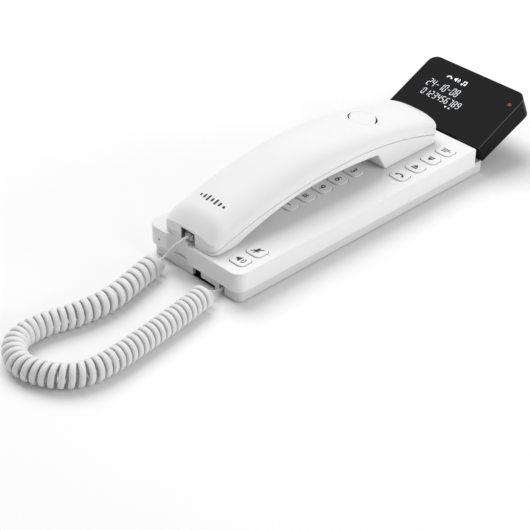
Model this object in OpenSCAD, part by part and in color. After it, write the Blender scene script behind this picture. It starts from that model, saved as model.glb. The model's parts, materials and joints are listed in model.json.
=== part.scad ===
// Slimline corded phone: flat base with a folding display, arched handset and curly cord.
// Millimetres, +Z up. The origin is the centre of the base's underside, midway between its keyholes.
// +X is the side that carries the small key column, +Y is the display end.

/* [Base] */
// Width of the base
base_w = 85; // [84.6:0.1:85.4]
// Length of the base, without the ledge under the display
base_l = 220; // [219:0.5:221]
// Height of the base's flat top above its underside
base_h = 21.8; // [21.5:0.1:22.2]
// Height at which the upper case meets the lower case
split_z = 8.4; // [8:0.1:8.8]
// Radius of the upper case's two front corners
base_r = 7.4; // [6:0.2:8.4]
// Wall thickness of the two base cases
wall = 2.2; // [2:0.1:2.4]
// How far the lower case is set in under the upper case
plinth_inset = 2.5; // [2.4:0.1:2.8]
// How far the lower case reaches out beyond the upper case, under the display
ledge_l = 9.6; // [9:0.1:10]
// How far the rubber feet stand proud of the underside
foot_h = 0.8; // [0.6:0.1:1]
// Distance between the two wall keyholes
keyhole_gap = 83; // [80:1:86]

/* [Keys] */
// Width of a key cap, across the base
key_w = 12.4; // [12:0.1:12.8]
// Length of a key cap, along the base
key_l = 10.4; // [10:0.1:10.8]
// Spacing of the keypad in both directions
key_pitch = 15; // [14.8:0.1:15.2]
// How far the caps stand above the base
key_proud = 0.7; // [0.5:0.1:1]

/* [Handset] */
// Width of the handset
handset_w = 48; // [47.5:0.5:48.5]
// Thickness of the handset's shells
shell = 2; // [1.8:0.1:2.2]
// Gap left under the resting handset
rest_gap = 0.3; // [0.3:0.1:0.5]
// Length of the socket recess in the mouth end
socket_depth = 8.5; // [8:0.5:9]

/* [Display] */
// Width of the display unit
display_w = 85.4; // [85:0.2:86]
// Length of the display unit, from its hinge end
display_l = 54; // [53:0.5:55]
// Thickness of the display unit with its window
display_t = 14.8; // [14.6:0.1:15]
// How much thicker the display unit is at its far end
display_swell = 3; // [2:0.5:4]
// Tilt of the display as it stands
display_tilt = 24; // [23:0.5:25]

/* [Cord] */
// Width of the flat handset cord
cord_w = 4.2; // [4:0.1:4.4]
// Outer diameter of the curly part
coil_d = 15.5; // [15:0.1:16]

/* [Hidden] */
$fn = 48;
eps = 0.01;

// Key places: three columns of five on the keypad, four at the side, two at the front.
keypad_x = [5.3, 5.3 - key_pitch, 5.3 - 2 * key_pitch];
keypad_y = [for (i = [0:4]) 28.4 - i * key_pitch];
side_x = 30.1;
side_y = [92.3, 77.1, 61.9, 46.7];
front_y = [-82.8, -96.7];
key_r = 3.2;
key_fit = 0.35;
flange_w = 13.8;
flange_l = 12;
flange_z = base_h - wall - 0.3;
flange_t = 1;

// The stack under the keys.
board_z = 13.6;
board_t = 1.6;
membrane_t = 1;
dome_h = 0.6;

// Upper case.
rear_r = 1.2;
top_edge = 1;

// Lower case.
floor_t = 2;
tray_top = 10.4;
plinth_w = base_w - 2 * plinth_inset;
plinth_y0 = -base_l / 2 + plinth_inset;
plinth_y1 = base_l / 2 + ledge_l;
plinth_r = 4.2;
post_places = [[34.5, 102.5], [-34.5, 102.5], [34.5, -66], [-34.5, -66]];
post_r = 3.2;
screw_r = 1.5;
standoff_places = [[-30, -78], [-30, 72], [14, -72], [10, 82]];
foot_places = [[30, 111], [-30, 111], [32, -80], [-32, -80]];
foot_r = 5;
keyhole_r = 4.2;
keyhole_slot_w = 4.4;
keyhole_slot_l = 8;

// Pocket in the underside for the handset cord's jack, and the one for the line jack.
pocket = [[-9, plinth_y0 - 1], [31.5, -86]];
pocket_h = 8.2;
pocket_wall = 1.6;
line_pocket = [[-29, 62], [-9, 94]];
cord_mouths = [[-2.3, 5.3, 6.4], [5.2, 18.2, 2.1], [22, 27, 6.4]];

// Scoop in the front wall that the handset cord hangs in.
scoop_x = -14;
scoop_r = 14.5;
scoop_depth = 4;
scoop_y = -base_l / 2 - scoop_r + scoop_depth;

// Handset, seen from the side: heights are above the base's top.
hs_x = -6;
hs_y0 = -107.5;
hs_y1 = 98.5;
hs_r = 5.5;
mouth_nose = [12, 0.55];
ear_nose = [12, 0.82];
peak_y = 15;
crown_y = -12;
grip_y = -10;
grip_h = 16.4;
mouth_rest = -90.5;
ear_face = [38, 45.5];
ear_foot = hs_y1 - 5.5;
section_power = 2.6;
jack_x = hs_x;
recess_h = 9.6;
ear_y = 74;
mouthpiece = [8, -96];
cap_y = 44;
cap_x = -3;
cap_r = 10;
hook_x = -20;
hook_y = 84;
hook_r = 3;
tab_y = 51;

// Display: its own frame has y along its face from the hinge end and z out of its face.
display_edge = [base_l / 2 + 1.1, base_h + 0.8];
window_t = 2;
display_wall = 2;
display_r = 7;
hinge_u = 5;
hinge_n = -9.5;
hinge_y = display_edge[0] + hinge_u * cos(display_tilt) - hinge_n * sin(display_tilt);
hinge_z = display_edge[1] + hinge_u * sin(display_tilt) + hinge_n * cos(display_tilt);
arm_x = 26;
arm_w = 9;
arm_r = 2.7;
hinge_pin_r = 1.5;
hinge_fit = 0.05;
led_place = [37.2, 41.2];

// Cord: hand-chosen points of the curly part's middle line and of its two straight ends.
coil_z = coil_d / 2 - foot_h;
lead_r = 0.375 * cord_w;
coil_route = [
    [-21, -120], [-16, -141], [-11.5, -158], [-10, -174], [-12, -192], [-16, -208], [-17.5, -222],
    [-14, -234], [-4, -242], [8, -244], [20, -240], [30, -233], [36.5, -222], [38, -208],
    [37, -193], [35, -176], [32.8, -160], [30.3, -144], [27.6, -130], [25.5, -121.3]];
handset_lead_route = [
    [jack_x, -107.3, 26.6], [-6.2, -109, 26.4], [-7.4, -111, 25], [-10.2, -112.4, 22], [-13.4, -112.7, 18.4],
    [-16.6, -112.8, 14.6], [-18.8, -113.4, 11.2], [-20.3, -115.4, 8.4], [-20.8, -117.8, 7.2],
    [-21, -120, coil_z]];
base_lead_route = [
    [25.5, -121.3, coil_z], [25.2, -118, 5.6], [24.9, -114.5, 3.9], [24.6, -111, 2.9], [24.4, -107.5, 2.6],
    [24, -104, 2.6], [22.8, -100.8, 2.8], [20.4, -98.2, 3.2], [17.4, -97, 3.6], [14, -97, 3.8]];

// ---------- shared shapes ----------

module rounded_rect(w, l, r) {
    square([w - 2 * r, l], center = true);
    square([w, l - 2 * r], center = true);
    for (sx = [-1, 1], sy = [-1, 1])
        translate([sx * (w / 2 - r), sy * (l / 2 - r)]) circle(r);
}

module box(x0, y0, z0, x1, y1, z1) {
    translate([x0, y0, z0]) cube([x1 - x0, y1 - y0, z1 - z0]);
}

module post(x, y, z0, z1, r) {
    translate([x, y, z0]) cylinder(r = r, h = z1 - z0);
}

// A tube through the points p, as one closed solid with n sides.
function unit(v) = v / norm(v);
function heading(p, i) = unit(p[min(i + 1, len(p) - 1)] - p[max(i - 1, 0)]);
function ring(p, i, r, n) =
    let (h = heading(p, i), side = unit(cross(h, [0, 0.02, 1])), up = cross(side, h))
    [for (k = [0:n - 1]) p[i] + r * (cos(360 * k / n) * side + sin(360 * k / n) * up)];
module tube(p, r, n) {
    rings = len(p);
    polyhedron(
        points = [for (i = [0:rings - 1]) each ring(p, i, r, n)],
        faces = concat(
            [[for (k = [0:n - 1]) k]],
            [for (i = [0:rings - 2], k = [0:n - 1]) let (a = i * n + k, b = i * n + (k + 1) % n)
                each [[a, a + n, b], [b, a + n, b + n]]],
            [[for (k = [n - 1:-1:0]) (rings - 1) * n + k]]));
}

// ---------- base ----------

module keyhole(y) {
    post(0, y, -1, floor_t + 1, keyhole_r);
    box(-keyhole_slot_w / 2, y, -1, keyhole_slot_w / 2, y + keyhole_slot_l, floor_t + 1);
    post(0, y + keyhole_slot_l, -1, floor_t + 1, keyhole_slot_w / 2);
}

module scoop(extra, z0, z1) {
    post(scoop_x, scoop_y, z0, z1, scoop_r + extra);
}

module key_hole(x, y) {
    translate([x, y, base_h - wall - 1])
        linear_extrude(wall + 2) rounded_rect(key_w + 2 * key_fit, key_l + 2 * key_fit, key_r + key_fit);
}

// The upper case from above: rounded at the front, nearly square behind the display.
module case_slab(inset, z0, z1) {
    w = base_w / 2 - inset;
    l = base_l / 2 - inset;
    front = base_r - inset;
    back = max(rear_r - inset, 0.3);
    corners = [[w - back, l - back, back, 0], [back - w, l - back, back, 90],
        [front - w, front - l, front, 180], [w - front, front - l, front, 270]];
    translate([0, 0, z0]) linear_extrude(z1 - z0) polygon([for (c = corners, k = [0:12])
        [c[0] + c[2] * cos(c[3] + 7.5 * k), c[1] + c[2] * sin(c[3] + 7.5 * k)]]);
}

module upper_blank() {
    hull() {
        case_slab(0, split_z, base_h - top_edge);
        case_slab(0.25 * top_edge, split_z, base_h - 0.35 * top_edge);
        case_slab(top_edge, split_z, base_h);
    }
}

module hinge_arm(x) {
    difference() {
        union() {
            box(x - arm_w / 2, base_l / 2 - wall - 0.5, hinge_z - arm_r,
                x + arm_w / 2, hinge_y, hinge_z + arm_r);
            translate([x - arm_w / 2, hinge_y, hinge_z]) rotate([0, 90, 0]) cylinder(r = arm_r, h = arm_w);
        }
        translate([x - arm_w, hinge_y, hinge_z]) rotate([0, 90, 0])
            cylinder(r = hinge_pin_r + hinge_fit, h = 2 * arm_w);
    }
}

module upper_case() color("whitesmoke") {
    difference() {
        union() {
            difference() {
                upper_blank();
                case_slab(wall, split_z - 1, base_h - wall);
            }
            intersection() {
                scoop(wall, split_z, base_h - 1);
                case_slab(wall / 2, split_z, base_h - 1);
            }
            for (p = post_places) post(p[0], p[1], floor_t, base_h - wall + 0.5, post_r);
            // collar that guides the hook plunger
            post(hook_x, hook_y, board_z + board_t + 2.4, base_h - wall + 0.5, hook_r + 3);
        }
        scoop(0, split_z - 1, base_h + 1);
        for (x = keypad_x, y = keypad_y) key_hole(x, y);
        for (y = side_y) key_hole(side_x, y);
        for (y = front_y) key_hole(side_x, y);
        for (p = post_places) post(p[0], p[1], floor_t - 1, 13, screw_r);
        post(hook_x, hook_y, 0, base_h + 1, hook_r + 0.1);
        post(hook_x, hook_y, 0, base_h - wall, hook_r + 1.4);
        // seat of the reversible hanger tab
        box(hs_x - 7.2, tab_y - 3.7, base_h - 1.2, hs_x + 7.2, tab_y + 3.7, base_h + 1);
        box(hs_x - 5.2, tab_y - 1.7, base_h - wall - 1, hs_x + 5.2, tab_y + 1.7, base_h + 1);
        // microphone hole in the front wall
        translate([-31.3, -base_l / 2 - 1, 13.8]) rotate([-90, 0, 0]) cylinder(r = 0.9, h = wall + 2);
        // slot in the back wall for the display's ribbon
        box(-8, base_l / 2 - wall - 1, hinge_z - 1.2, 8, base_l / 2 + 1, hinge_z + 1.2);
    }
    for (s = [-1, 1]) hinge_arm(s * arm_x);
}

module pocket_box(p, grow, z0, z1) {
    box(p[0][0] - grow, p[0][1] - grow, z0, p[1][0] + grow, p[1][1] + grow, z1);
}

// Rounded at the front like the upper case, nearly square at the ledge.
module lower_outline() {
    translate([0, (plinth_y0 + plinth_y1) / 2]) rounded_rect(plinth_w, plinth_y1 - plinth_y0, plinth_r);
    translate([0, plinth_y1 - 10]) rounded_rect(plinth_w, 20, rear_r);
}

module tray_outline(inset) {
    y1 = base_l / 2 - wall - 0.3;
    w = plinth_w - 2 * inset;
    translate([0, (plinth_y0 + y1) / 2]) rounded_rect(w, y1 - plinth_y0 - 2 * inset, plinth_r - inset / 2);
}

module lower_case() color("gainsboro") difference() {
    union() {
        linear_extrude(floor_t) lower_outline();
        difference() {
            linear_extrude(split_z) lower_outline();
            translate([0, 0, -1]) linear_extrude(split_z + 2) tray_outline(wall);
        }
        difference() {
            linear_extrude(tray_top) tray_outline(0);
            translate([0, 0, -1]) linear_extrude(tray_top + 2) tray_outline(wall);
        }
        intersection() {
            union() {
                pocket_box(pocket, pocket_wall, 0, pocket_h + pocket_wall);
                pocket_box(line_pocket, pocket_wall, 0, pocket_h + pocket_wall);
            }
            linear_extrude(tray_top) tray_outline(0.5);
        }
        for (p = standoff_places) post(p[0], p[1], floor_t - 1, board_z, 3);
    }
    // hollow of the ledge under the display
    difference() {
        box(-plinth_w / 2 + wall, base_l / 2 - wall + 1.5, floor_t,
            plinth_w / 2 - wall, plinth_y1 - wall, split_z - wall);
        for (s = [-1, 1]) box(s * 15 - 1, 100, 0, s * 15 + 1, 130, 20);
    }
    scoop(wall + 0.4, split_z, 20);
    pocket_box(pocket, 0, -1, pocket_h);
    pocket_box(line_pocket, 0, -1, pocket_h);
    box(-21, 90, -1, -17, plinth_y1 + 1, 3.4);
    for (p = post_places) {
        post(p[0], p[1], -1, 10, screw_r + 0.2);
        post(p[0], p[1], -1, 0.6, 3.1);
        post(p[0], p[1], floor_t, 20, post_r + 0.3);
    }
    for (p = standoff_places) post(p[0], p[1], 6, board_z + 1, 1.1);
    for (p = foot_places) post(p[0], p[1], -1, 0.8, foot_r + 0.1);
    for (s = [-1, 1]) keyhole(s * keyhole_gap / 2);
    // sound slots under the speaker
    for (i = [-3:3]) box(16 + 3.2 * i - 0.7, 22, -1, 16 + 3.2 * i + 0.7, 38, floor_t + 1);
}

// The front wall of the plinth closes the pocket, apart from its three mouths.
module cord_gate() color("gainsboro")
    difference() {
        box(pocket[0][0], plinth_y0, 0, pocket[1][0], plinth_y0 + wall, pocket_h);
        for (m = cord_mouths) box(m[0], plinth_y0 - 1, -1, m[1], plinth_y0 + wall + 1, m[2]);
    }

module rubber_feet() color("dimgray")
    for (p = foot_places) post(p[0], p[1], -foot_h, 0.8, foot_r);

module case_screws() color("silver")
    for (p = post_places) {
        post(p[0], p[1], 0.1, 0.6, 2.9);
        post(p[0], p[1], 0.3, 12.5, screw_r);
    }

module ballast_weights() color("slategray")
    for (s = [-1, 1]) translate([s * 24, -26, floor_t]) linear_extrude(5) rounded_rect(22, 60, 2);

module main_board() color("darkgreen") difference() {
    box(-37, -100, board_z, 37, 98, board_z + board_t);
    for (p = post_places) post(p[0], p[1], board_z - 1, board_z + 3, post_r + 0.5);
    for (p = standoff_places) post(p[0], p[1], board_z - 1, board_z + 3, 1.2);
}

module board_screws() color("silver")
    for (p = standoff_places) {
        post(p[0], p[1], board_z + board_t, board_z + board_t + 1.4, 2.2);
        post(p[0], p[1], 8, board_z + board_t + 0.5, 1.1);
    }

module dome(x, y) {
    post(x, y, board_z + board_t, board_z + board_t + membrane_t + dome_h, 3.2);
}

module keypad_membrane() color("gray") {
    z = board_z + board_t;
    box(keypad_x[2] - 7, keypad_y[4] - 7, z, 24, keypad_y[0] + 7, z + membrane_t);
    box(24 - eps, -60, z, 29, 40, z + membrane_t);
    box(23, -100, z, 36.5, front_y[0] + 8, z + membrane_t);
    box(24, front_y[0] + 7, z, 29, -59, z + membrane_t);
    box(23, 39, z, 36.5, 98, z + membrane_t);
    for (x = keypad_x, y = keypad_y) dome(x, y);
    for (y = side_y) dome(side_x, y);
    for (y = front_y) dome(side_x, y);
}

module hook_plunger() color("white") {
    post(hook_x, hook_y, 16.2, base_h, hook_r);
    post(hook_x, hook_y, 16, 16.4, hook_r + 1.2);
}

module hook_switch() color("black") {
    z = board_z + board_t;
    difference() {
        box(hook_x - 6, hook_y - 6, z, hook_x + 6, hook_y + 6, z + 0.7);
        post(hook_x, hook_y, z - 1, z + 2, 2.4);
    }
}

module base_speaker() color("dimgray") {
    difference() {
        post(16, 30, floor_t, 6, 14);
        post(16, 30, floor_t - 1, 3.4, 12);
    }
    post(16, 30, 5, 9.4, 7);
}

module base_microphone() color("black")
    translate([-31.3, -base_l / 2 + wall, 13.8]) rotate([-90, 0, 0]) cylinder(r = 3, h = 2.6);

module jack(socket_w, socket_h, w, l, h) {
    difference() {
        translate([-w / 2, -l, 0]) cube([w, l, h]);
        translate([-socket_w / 2, -7.5, 1.1]) cube([socket_w, 8, socket_h]);
    }
}

module line_jack() color("black")
    translate([-19, 76, 0.6]) jack(10, 6, 14, 13, 7.6);

module base_cord_jack() color("black")
    translate([6, -97, 0.5]) rotate([0, 0, -90]) jack(8, 6.2, 11, 14, 7.7);

module hanger_tab() color("white") {
    box(hs_x - 7, tab_y - 3.5, base_h - 1.2, hs_x + 7, tab_y + 3.5, base_h);
    box(hs_x - 5, tab_y - 1.5, base_h - wall - 0.6, hs_x + 5, tab_y + 1.5, base_h + 2.6);
}

// ---------- keys ----------

module key(x, y) {
    translate([x, y, flange_z - flange_t]) linear_extrude(flange_t) rounded_rect(flange_w, flange_l, 2);
    translate([x, y, flange_z - 0.5])
        linear_extrude(base_h + key_proud - 0.4 - flange_z + 0.5) rounded_rect(key_w, key_l, key_r);
    translate([x, y, base_h + key_proud - 0.5])
        linear_extrude(0.5) rounded_rect(key_w - 0.8, key_l - 0.8, key_r - 0.4);
}

module pad_key(col, row) color("white") key(keypad_x[2 - col], keypad_y[row]);
module side_key(row) color("white") key(side_x, side_y[row]);
module front_key(row) color("white") key(side_x, front_y[row]);

// ---------- display ----------

module on_display() {
    translate([0, display_edge[0], display_edge[1]]) rotate([display_tilt, 0, 0]) children();
}

module display_outline(inset) {
    w = display_w - 2 * inset;
    l = display_l - 2 * inset;
    r = display_r - inset;
    translate([-w / 2, inset]) square([w, l - r]);
    translate([-w / 2 + r, inset]) square([w - 2 * r, l]);
    for (s = [-1, 1]) translate([s * (w / 2 - r), inset + l - r]) circle(r);
}

// How far the display's back has dropped at y along its face.
function back_drop(y) = display_swell * y / display_l;

// A block with the display's outline up to z = top, and with a back that slopes away from z = back.
module display_block(inset, back, top) difference() {
    translate([0, 0, back - display_swell - 1])
        linear_extrude(top - back + display_swell + 1) display_outline(inset);
    translate([0, 0, back]) rotate([-atan(display_swell / display_l), 0, 0]) box(-50, -10, -20, 50, 70, 0);
}

module hinge_cheek(x) {
    box(x - 1.5, 0.5, -display_t + display_wall - 0.5, x + 1.5, hinge_u + 3.5, hinge_n + 3.5);
}

module display_rear_shell() color("black") on_display() difference() {
    union() {
        difference() {
            display_block(0, -display_t, -window_t);
            display_block(display_wall, -display_t + display_wall, 1);
        }
        for (s = [-1, 1], t = [-1, 1]) hinge_cheek(s * arm_x + t * (arm_w / 2 + 2));
        for (s = [-1, 1], y = [14, 48]) post(s * 36, y, -display_t + 1 - back_drop(y), -8, 2.6);
    }
    for (s = [-1, 1]) {
        box(s * arm_x - arm_w / 2 - 0.4, -1, -display_t + display_wall,
            s * arm_x + arm_w / 2 + 0.4, 3, hinge_n + 7);
        translate([s * arm_x - 10, hinge_u, hinge_n]) rotate([0, 90, 0]) cylinder(r = hinge_pin_r, h = 20);
    }
    box(-8, -1, hinge_n - 2, 8, 3, hinge_n + 5);
    for (s = [-1, 1], y = [14, 48]) {
        post(s * 36, y, -display_t - display_swell - 1, -7, 1.2);
        post(s * 36, y, -display_t - display_swell - 1, -display_t + 1.4 - back_drop(y), 2.3);
    }
}

module display_window() color([0.05, 0.05, 0.06]) on_display() difference() {
    translate([0, 0, -window_t]) linear_extrude(window_t) display_outline(0);
    post(led_place[0], led_place[1], -window_t - 1, 1, 1.35);
}

module display_lcd() color("darkslategray") on_display()
    box(-34, 14, -5.4, 14, 47, -window_t);

module display_board() color("darkgreen") on_display() difference() {
    union() {
        box(-40, 12, -7, 40, 50, -5.4);
        box(-8, 12, hinge_n, 8, 17, -7 + eps);
    }
    for (s = [-1, 1], y = [14, 48]) post(s * 36, y, -9, -3, 1.3);
}

module indicator_led() color("red") on_display()
    post(led_place[0], led_place[1], -5.4, -0.05, 1.35);

module display_hinge_pins() color("silver")
    for (s = [-1, 1]) translate([s * arm_x - 8, hinge_y, hinge_z]) rotate([0, 90, 0])
        cylinder(r = hinge_pin_r, h = 16);

module display_ribbon() color("orange")
    translate([-6, 0, 0]) rotate([90, 0, 90]) linear_extrude(12) polygon([
        [96, board_z + board_t], [104, board_z + board_t],
        [107, hinge_z - 0.15], [hinge_y + 1, hinge_z - 0.15],
        [hinge_y + 1, hinge_z + 0.15], [106.8, hinge_z + 0.15], [103.8, board_z + board_t + 0.3],
        [96, board_z + board_t + 0.3]]);

module display_screws() color("silver") on_display()
    for (s = [-1, 1], y = [14, 48]) {
        post(s * 36, y, -display_t + 0.2 - back_drop(y), -display_t + 1.4 - back_drop(y), 2.2);
        post(s * 36, y, -display_t + 1 - back_drop(y), -5, 1.2);
    }

// ---------- handset ----------

// Side curves, as heights above the base's top.
function seam(y) = y < peak_y
    ? 21 - 14.4 * pow((peak_y - y) / 110, 2.3)
    : 21 - 13.2 * pow((y - peak_y) / 78, 1.9);
function crown(y) = y < crown_y
    ? 37.2 - 19 * pow((crown_y - y) / 94, 1.55)
    : 37.2 - 16.6 * pow((y - crown_y) / 108, 1.64);
function under(y) =
    y < mouth_rest ? rest_gap :
    y < grip_y ? max(rest_gap, grip_h - grip_h * pow((grip_y - y) / (grip_y - mouth_rest), 1.9)) :
    y < ear_face[0] ? grip_h - 1.6 * pow((y - grip_y) / 36, 2) :
    y < ear_face[1] ?
        rest_gap + (ear_face[1] - y) / (ear_face[1] - ear_face[0]) * (under(ear_face[0] - eps) - rest_gap) :
    rest_gap;

// Half-width of the outline at y, with rounded corners at both ends.
function corner(d, r) = d >= r ? 0 : r - sqrt(r * r - (r - d) * (r - d));
function half_w(y) = handset_w / 2 - corner(y - hs_y0, hs_r) - corner(hs_y1 - y, hs_r);
// The dome falls away in a nose at each end.
function nose(d, n) = d >= n[0] ? 1 : n[1] + (1 - n[1]) * sin(90 * d / n[0]);
function dome_h_at(y) = (crown(y) - seam(y)) * nose(y - hs_y0, mouth_nose) * nose(hs_y1 - y, ear_nose);

function curve_pow(v, p) = sign(v) * pow(abs(v), p);
// The dome's section at y: an arch over the whole width, cut off upright at the outline's half-width hw.
function arc_points(y, hw, full, h, z, m) = [for (j = [0:m])
    let (x = hw * curve_pow(cos(180 * j / m), 2 / section_power), cut = j == 0 || j == m)
    [hs_x + x, y, z + (cut ? 0 : h * pow(1 - pow(abs(x) / full, section_power), 1 / section_power))]];

end_steps = [0, 0.25, 0.9, 2, 3.6, 5.5, 8];
span_steps = 16;
function stations(a, b) = concat(
    [for (d = end_steps) a + d],
    [for (i = [1:span_steps - 1]) a + 8 + (b - a - 16) * i / span_steps],
    [for (i = [len(end_steps) - 1:-1:0]) b - end_steps[i]]);

module handset_back_blank() {
    m = 20;
    outer_y = stations(hs_y0, hs_y1);
    inner_y = stations(hs_y0 + shell, hs_y1 - shell);
    n = len(outer_y);
    outer = [for (y = outer_y)
        each arc_points(y, half_w(y), handset_w / 2, dome_h_at(y), base_h + seam(y), m)];
    inner = [for (i = [0:n - 1]) let (y = inner_y[i], o = min(max(y, hs_y0 + shell), hs_y1 - shell))
        each arc_points(y, half_w(o) - shell, handset_w / 2 - shell, dome_h_at(o) - shell,
            base_h + seam(y), m)];
    c = m + 1;
    k = n * c;
    polyhedron(
        points = concat(outer, inner),
        faces = concat(
            [for (i = [0:n - 2], j = [0:m - 1]) let (a = i * c + j)
                each [[a, a + 1, a + c], [a + 1, a + c + 1, a + c]]],
            [for (i = [0:n - 2], j = [0:m - 1]) let (a = k + i * c + j)
                each [[a, a + c, a + 1], [a + 1, a + c, a + c + 1]]],
            [for (i = [0:n - 2]) let (a = i * c, b = k + i * c)
                each [[a, a + c, b], [a + c, b + c, b]]],
            [for (i = [0:n - 2]) let (a = i * c + m, b = k + i * c + m)
                each [[a + c, a, b], [a + c, b, b + c]]],
            [[for (j = [m:-1:0]) j]],
            [[for (j = [0:m]) (n - 1) * c + j]],
            [[for (j = [0:m]) k + j]],
            [[for (j = [m:-1:0]) k + (n - 1) * c + j]],
            [[m, 0, k], [m, k, k + m]],
            [let (a = (n - 1) * c, b = k + (n - 1) * c) each [[a, a + m, b + m], [a, b + m, b]]]));
}

module socket_recess() {
    box(jack_x - 6.4, hs_y0 - 1, base_h - 1, jack_x + 6.4, hs_y0 + socket_depth, base_h + recess_h);
}

screw_y = [-81, 57.4];

module cap_seat() {
    tilt = atan((crown(cap_y + 1) - crown(cap_y - 1)) / 2);
    translate([cap_x, cap_y, base_h + crown(cap_y) - 0.5]) rotate([tilt, 3, 0]) children();
}

module handset_back_shell() color("white") difference() {
    union() {
        handset_back_blank();
        for (y = screw_y) post(hs_x, y, base_h + under(y) + 4.2, base_h + crown(y) - 1.2, 3);
    }
    socket_recess();
    for (y = screw_y) post(hs_x, y, base_h + under(y) + 3, base_h + under(y) + 10, 1.2);
    cap_seat() translate([0, 0, -0.7]) cylinder(r = cap_r + 0.2, h = 5);
}

module round_cap() color("white")
    cap_seat() translate([0, 0, -0.7]) cylinder(r = cap_r, h = 1.2);

under_y = [hs_y0, mouth_rest, -86, -80, -73, -65, -57, -48, -38, -28, -18, -8, 2, 12, 22, 30,
    ear_face[0], ear_face[1], ear_foot];
// Where the inside of a sloping face sits beside its outside.
function inner_shift(y) = y == ear_face[0] ? -0.3 : y == ear_face[1] ? 1 : y == ear_foot ? -0.9 : 0;
seam_y = [for (i = [20:-1:0]) hs_y0 + (hs_y1 - hs_y0) * i / 20];

module side_profile(lift, ends, top) {
    points = concat(
        [for (y = under_y)
            [max(y + (lift > 0 ? inner_shift(y) : 0), hs_y0 + ends), base_h + under(y) + lift]],
        [for (y = seam_y) [min(max(y, hs_y0 + ends), hs_y1 - ends), base_h + seam(y) + top]]);
    translate([hs_x, 0, 0]) rotate([90, 0, 90]) linear_extrude(handset_w + 2, center = true) polygon(points);
}

module handset_plan(inset) {
    translate([hs_x, (hs_y0 + hs_y1) / 2, base_h - 5]) linear_extrude(60)
        rounded_rect(handset_w - 2 * inset, hs_y1 - hs_y0 - 2 * inset, hs_r - inset);
}

module handset_front_shell() color("white") difference() {
    union() {
        difference() {
            intersection() {
                side_profile(0, 0, -0.15);
                handset_plan(0);
            }
            intersection() {
                side_profile(shell, shell, 3);
                handset_plan(shell);
            }
        }
        // ribs that carry the weight, and the screw posts
        for (y = [-40, 16]) box(hs_x - 6, y - 1, base_h + under(y) + 0.8, hs_x + 6, y + 1, base_h + 18.6);
        for (y = screw_y) post(hs_x, y, base_h + under(y) + 0.5, base_h + under(y) + 4, 3);
    }
    socket_recess();
    for (y = screw_y) {
        post(hs_x, y, base_h - 1, base_h + 20, 1.4);
        post(hs_x, y, base_h - 1, base_h + under(y) + 1.4, 2.6);
    }
    // slot for the hanger tab, earpiece holes and mouthpiece hole
    box(hs_x - 6, tab_y - 2.6, base_h - 1, hs_x + 6, tab_y + 2.6, base_h + 4);
    post(hs_x, ear_y, base_h - 1, base_h + 4, 1);
    for (i = [0:5]) post(hs_x + 5 * cos(60 * i), ear_y + 5 * sin(60 * i), base_h - 1, base_h + 4, 1);
    post(mouthpiece[0], mouthpiece[1], base_h - 1, base_h + 4, 0.8);
}

module receiver_gasket() color("dimgray") difference() {
    z = base_h + rest_gap + shell;
    post(hs_x, ear_y, z, z + 1, 12.5);
    post(hs_x, ear_y, z - 1, z + 2, 9);
}

module receiver_speaker() color("darkgray") {
    z = base_h + rest_gap + shell + 1;
    post(hs_x, ear_y, z, z + 3, 12.5);
    post(hs_x, ear_y, z + 3 - eps, z + 7, 8);
}

module handset_microphone() color("black")
    post(mouthpiece[0], mouthpiece[1], base_h + rest_gap + shell, base_h + rest_gap + shell + 4.2, 4);

module handset_weight() color("slategray")
    translate([hs_x, -12, base_h + 18.6]) linear_extrude(5) rounded_rect(14, 62, 2);

module handset_cord_jack() color("black") difference() {
    y = hs_y0 + socket_depth;
    z = base_h + rest_gap + shell;
    box(jack_x - 5.5, y, z, jack_x + 5.5, mouth_rest, z + 8);
    box(jack_x - 3.5, y - 1, base_h + 1.4 + 0.9, jack_x + 3.5, y + 4.2, base_h + 7.2);
}

module handset_screws() color("silver")
    for (y = screw_y) {
        post(hs_x, y, base_h + under(y) + 0.2, base_h + under(y) + 1.4, 2.4);
        post(hs_x, y, base_h + under(y) + 1, base_h + under(y) + 9.8, 1.2);
    }

// ---------- cord ----------

module handset_plug() color("ghostwhite") {
    y = hs_y0 + socket_depth;
    box(jack_x - 3.3, y - 7.9, base_h + 2.5, jack_x + 3.3, y + 3.9, base_h + 7);
}

module base_plug() color("ghostwhite")
    box(2.5, -97 - 3.4, 1.6, 14, -97 + 3.4, 6);

module handset_lead() color("whitesmoke")
    tube(handset_lead_route, lead_r, 8);

module cord_coil() color("whitesmoke")
    tube([for (p = coil_route) [p[0], p[1], coil_z]], coil_d / 2, 12);

module base_lead() color("whitesmoke")
    tube(base_lead_route, lead_r, 8);

// ---------- assembly ----------

upper_case();
union() { lower_case(); cord_gate(); }
rubber_feet();
case_screws();
ballast_weights();
main_board();
board_screws();
keypad_membrane();
hook_plunger();
hook_switch();
base_speaker();
base_microphone();
line_jack();
base_cord_jack();
hanger_tab();
pad_key(0, 0);  // key_1
pad_key(1, 0);  // key_2
pad_key(2, 0);  // key_3
pad_key(0, 1);  // key_4
pad_key(1, 1);  // key_5
pad_key(2, 1);  // key_6
pad_key(0, 2);  // key_7
pad_key(1, 2);  // key_8
pad_key(2, 2);  // key_9
pad_key(0, 3);  // key_star
pad_key(1, 3);  // key_0
pad_key(2, 3);  // key_hash
pad_key(0, 4);  // key_flash
pad_key(1, 4);  // key_tone
pad_key(2, 4);  // key_program
side_key(0);  // key_menu
side_key(1);  // key_down
side_key(2);  // key_up
side_key(3);  // key_call
front_key(1);  // key_speaker
front_key(0);  // key_mute
display_rear_shell();
display_window();
display_lcd();
display_board();
indicator_led();
display_hinge_pins();
display_ribbon();
display_screws();
handset_back_shell();
handset_front_shell();
round_cap();
receiver_speaker();
receiver_gasket();
handset_microphone();
handset_weight();
handset_cord_jack();
handset_screws();
handset_plug();
base_plug();
handset_lead();
cord_coil();
base_lead();
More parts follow.
